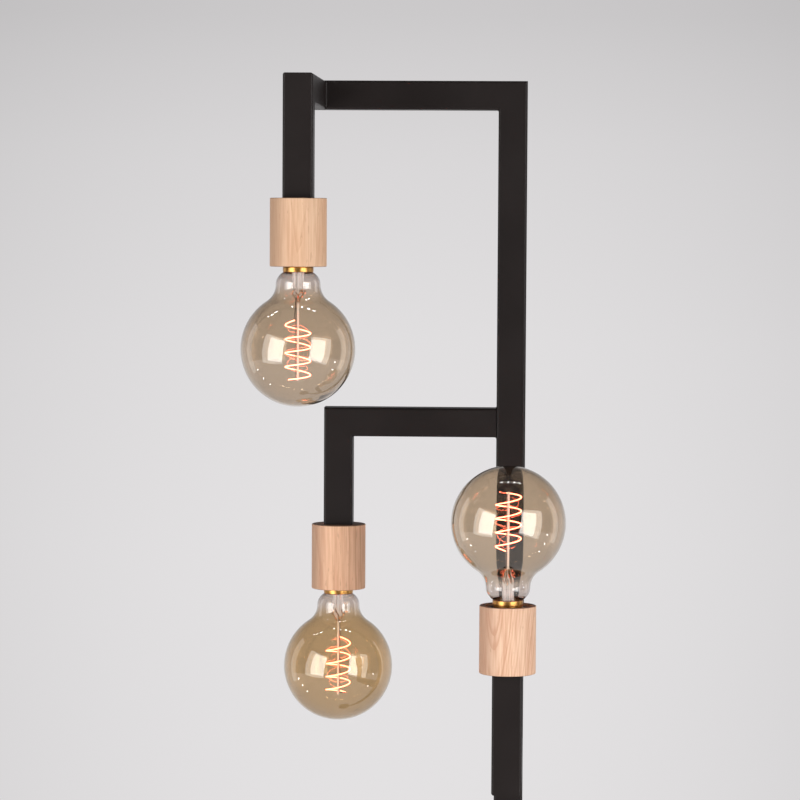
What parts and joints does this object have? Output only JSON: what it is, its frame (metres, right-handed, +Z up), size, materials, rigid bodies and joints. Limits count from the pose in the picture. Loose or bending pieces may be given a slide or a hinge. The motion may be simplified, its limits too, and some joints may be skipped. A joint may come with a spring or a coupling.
{
  "type": "floor lamp",
  "caption": "Slim floor lamp: a square-tube steel frame on a round weighted base, with globe bulbs in turned wooden cups that screw in and out.",
  "frame": {"origin": "on the floor, at the centre of the round base under the mast", "axes": "+Z up along the mast, -Y the front that the upright bulb faces, +X to the viewer's right when seen from the front"},
  "size_m": [0.3625, 0.3375, 1.56],
  "materials": {
    "black_powder_coat": "satin black powder coat",
    "zinc_steel": "zinc plated",
    "cast_iron": "as cast, primed",
    "felt": "black felt",
    "gland_plastic": "matt moulded",
    "phenolic": "moulded, semi-gloss",
    "shell_brass": "rolled, bright",
    "splice_nylon": "moulded",
    "cable_sheath": "extruded",
    "beech": "bare turned, fine vertical grain, matt",
    "cap_brass": "rolled, bright gold",
    "solder": "dull solder",
    "black_glass": "gloss",
    "amber_glass": "clear amber tint, gloss",
    "clear_glass": "clear, gloss",
    "filament": "glowing orange-white",
    "copper_wire": "drawn copper-plated wire"
  },
  "bodies": {
    "stand": {"lower_mast": "black_powder_coat", "middle_mast": "black_powder_coat", "upper_mast": "black_powder_coat", "top_bar": "black_powder_coat", "top_stub": "black_powder_coat", "top_drop_tube": "black_powder_coat", "middle_bar": "black_powder_coat", "middle_drop_tube": "black_powder_coat", "lower_stub": "black_powder_coat", "riser_tube": "black_powder_coat", "weld_beads": "black_powder_coat", "base_cover": "black_powder_coat", "lower_coupler": "zinc_steel", "upper_coupler": "zinc_steel", "coupler_screws": "zinc_steel", "base_washer": "zinc_steel", "base_nut": "zinc_steel", "foot_plug": "zinc_steel", "tube_end_plates": "zinc_steel", "threaded_nipples": "zinc_steel", "lock_washers": "zinc_steel", "lock_nuts": "zinc_steel", "terminal_screws": "zinc_steel", "base_weight": "cast_iron", "floor_pad": "felt", "cord_gland": "gland_plastic", "holder_caps": "phenolic", "holder_bodies": "phenolic", "contact_leaves": "shell_brass", "screw_shells": "shell_brass", "splice_caps": "splice_nylon", "trunk_cable": "cable_sheath", "top_lead": "cable_sheath", "middle_lead": "cable_sheath", "riser_lead": "cable_sheath", "top_wood_cup": "beech", "middle_wood_cup": "beech", "riser_wood_cup": "beech"},
    "top_bulb_tip": {"top_tip_contact": "solder", "top_tip_insulator": "black_glass"},
    "top_bulb": {"top_screw_cap": "cap_brass", "top_glass_globe": "amber_glass", "top_glass_stem": "clear_glass", "top_filament": "filament", "top_lead_wires": "copper_wire"},
    "middle_bulb_tip": {"middle_tip_contact": "solder", "middle_tip_insulator": "black_glass"},
    "middle_bulb": {"middle_screw_cap": "cap_brass", "middle_glass_globe": "amber_glass", "middle_glass_stem": "clear_glass", "middle_filament": "filament", "middle_lead_wires": "copper_wire"},
    "riser_bulb_tip": {"riser_tip_contact": "solder", "riser_tip_insulator": "black_glass"},
    "riser_bulb": {"riser_screw_cap": "cap_brass", "riser_glass_globe": "amber_glass", "riser_glass_stem": "clear_glass", "riser_filament": "filament", "riser_lead_wires": "copper_wire"}
  },
  "joints": [
    {"name": "top_bulb_travel", "type": "slide", "parent": "stand", "child": "top_bulb_tip", "axis": [0, 0, -1], "range_m": [0, 0.0109]},
    {"name": "top_bulb_turn", "type": "hinge", "parent": "top_bulb_tip", "child": "top_bulb", "pos_m": [-0.175, -0.15, 1.4238], "axis": [0, 0, -1], "range_deg": [0, 1080]},
    {"name": "middle_bulb_travel", "type": "slide", "parent": "stand", "child": "middle_bulb_tip", "axis": [0, 0, -1], "range_m": [0, 0.0109]},
    {"name": "middle_bulb_turn", "type": "hinge", "parent": "middle_bulb_tip", "child": "middle_bulb", "pos_m": [-0.15, 0, 1.1403], "axis": [0, 0, -1], "range_deg": [0, 1080]},
    {"name": "riser_bulb_travel", "type": "slide", "parent": "stand", "child": "riser_bulb_tip", "axis": [0, 0, 1], "range_m": [0, 0.0109]},
    {"name": "riser_bulb_turn", "type": "hinge", "parent": "riser_bulb_tip", "child": "riser_bulb", "pos_m": [0, -0.15, 1.0992], "axis": [0, 0, 1], "range_deg": [0, 1080]}
  ],
  "couplings": [
    {"joint": "top_bulb_travel", "follows": "top_bulb_turn", "m_per_rad": 0.00057757},
    {"joint": "middle_bulb_travel", "follows": "middle_bulb_turn", "m_per_rad": 0.00057757},
    {"joint": "riser_bulb_travel", "follows": "riser_bulb_turn", "m_per_rad": 0.00057757}
  ]
}
